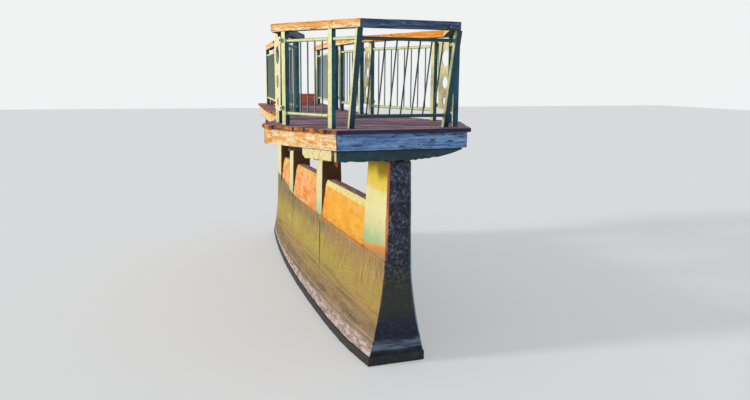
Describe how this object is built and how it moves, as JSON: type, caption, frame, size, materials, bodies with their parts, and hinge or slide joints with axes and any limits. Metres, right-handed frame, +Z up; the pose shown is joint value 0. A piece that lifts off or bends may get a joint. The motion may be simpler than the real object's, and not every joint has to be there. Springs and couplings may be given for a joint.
{
  "type": "sluice pier with railed platform",
  "caption": "Slender concrete sluice pier with a flared foot and a rounded nose, carrying a plank deck with a wide head, a narrow walkway and a steel and timber railing.",
  "frame": {"origin": "in the pier's middle plane at the water line, 3.25 m behind its flat front face", "axes": "+Z up, +Y back along the pier from the flat front face to the nose, +X to the right seen from the front"},
  "size_m": [2.502, 7.3283, 3.76],
  "materials": {
    "shaft_concrete": "weathered cast concrete with moss and water marks",
    "column_concrete": "pale cast concrete",
    "panel_concrete": "cast concrete with ochre lichen",
    "deck_planks": "weathered reddish planks",
    "fascia_timber": "weathered timber with peeling pale paint",
    "handrail_timber": "weathered timber with peeling pale paint",
    "joist_timber": "dark weathered timber",
    "plate_paint": "green paint, dulled",
    "railing_paint": "green paint, dulled",
    "beam_paint": "dark green paint with rust at the edges"
  },
  "bodies": {
    "root": {"pier_plinth": "shaft_concrete", "pier_shaft": "shaft_concrete", "front_column": "column_concrete", "second_column": "column_concrete", "third_column": "column_concrete", "nose_column": "column_concrete", "front_wall_panel": "panel_concrete", "middle_wall_panel": "panel_concrete", "rear_wall_panel": "panel_concrete", "front_beam": "beam_paint", "left_edge_beam": "beam_paint", "bearers": "beam_paint", "crossbeams": "beam_paint", "head_joists": "joist_timber", "walkway_joists": "joist_timber", "head_deck": "deck_planks", "walkway_deck": "deck_planks", "front_fascia": "fascia_timber", "left_flare_fascia": "fascia_timber", "right_flare_fascia": "fascia_timber", "left_rear_fascia": "fascia_timber", "right_rear_fascia": "fascia_timber", "left_walkway_fascia": "fascia_timber", "right_walkway_fascia": "fascia_timber", "end_fascia": "fascia_timber", "entrance_step": "joist_timber", "front_railing": "railing_paint", "left_top_link": "railing_paint", "right_top_link": "railing_paint", "left_flare_railing": "railing_paint", "right_flare_railing": "railing_paint", "left_rear_railing": "railing_paint", "right_rear_railing": "railing_paint", "left_walkway_railing": "railing_paint", "right_walkway_railing": "railing_paint", "left_entrance_railing": "railing_paint", "right_entrance_railing": "railing_paint", "front_handrail": "handrail_timber", "left_flare_handrail": "handrail_timber", "right_flare_handrail": "handrail_timber", "left_rear_handrail": "handrail_timber", "right_rear_handrail": "handrail_timber", "left_walkway_handrail": "handrail_timber", "right_walkway_handrail": "handrail_timber", "left_corner_plate": "plate_paint", "right_corner_plate": "plate_paint", "left_neck_plate": "plate_paint", "right_neck_plate": "plate_paint", "left_bend_plate": "plate_paint", "right_bend_plate": "plate_paint", "left_end_plate": "plate_paint", "right_end_plate": "plate_paint"}
  },
  "joints": []
}
